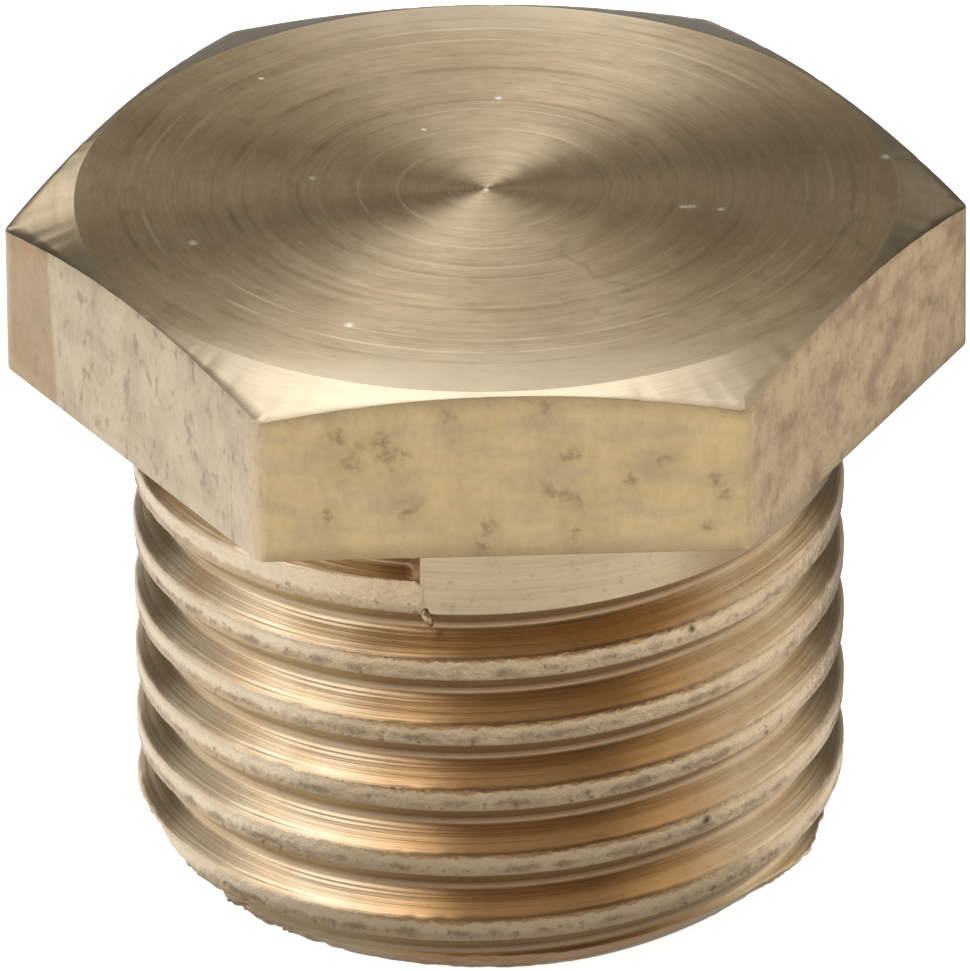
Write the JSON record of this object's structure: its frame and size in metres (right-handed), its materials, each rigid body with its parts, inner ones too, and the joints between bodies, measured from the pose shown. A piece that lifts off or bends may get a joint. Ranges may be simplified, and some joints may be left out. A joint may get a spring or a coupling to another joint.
{
  "type": "threaded plug",
  "caption": "Solid brass plug with a chamfered hexagon head and a parallel external pipe thread, screwed into a port to close it.",
  "frame": {"origin": "on the plug's axis, in the plane of the seat under the head", "axes": "+Z along the axis towards the head's top face; X through two opposite corners of the hexagon; the threaded end points to -Z"},
  "size_m": [0.0174, 0.015, 0.0128],
  "materials": {
    "brass": "turned and milled, satin, lightly tarnished"
  },
  "bodies": {
    "root": {"plug": "brass"}
  },
  "joints": []
}
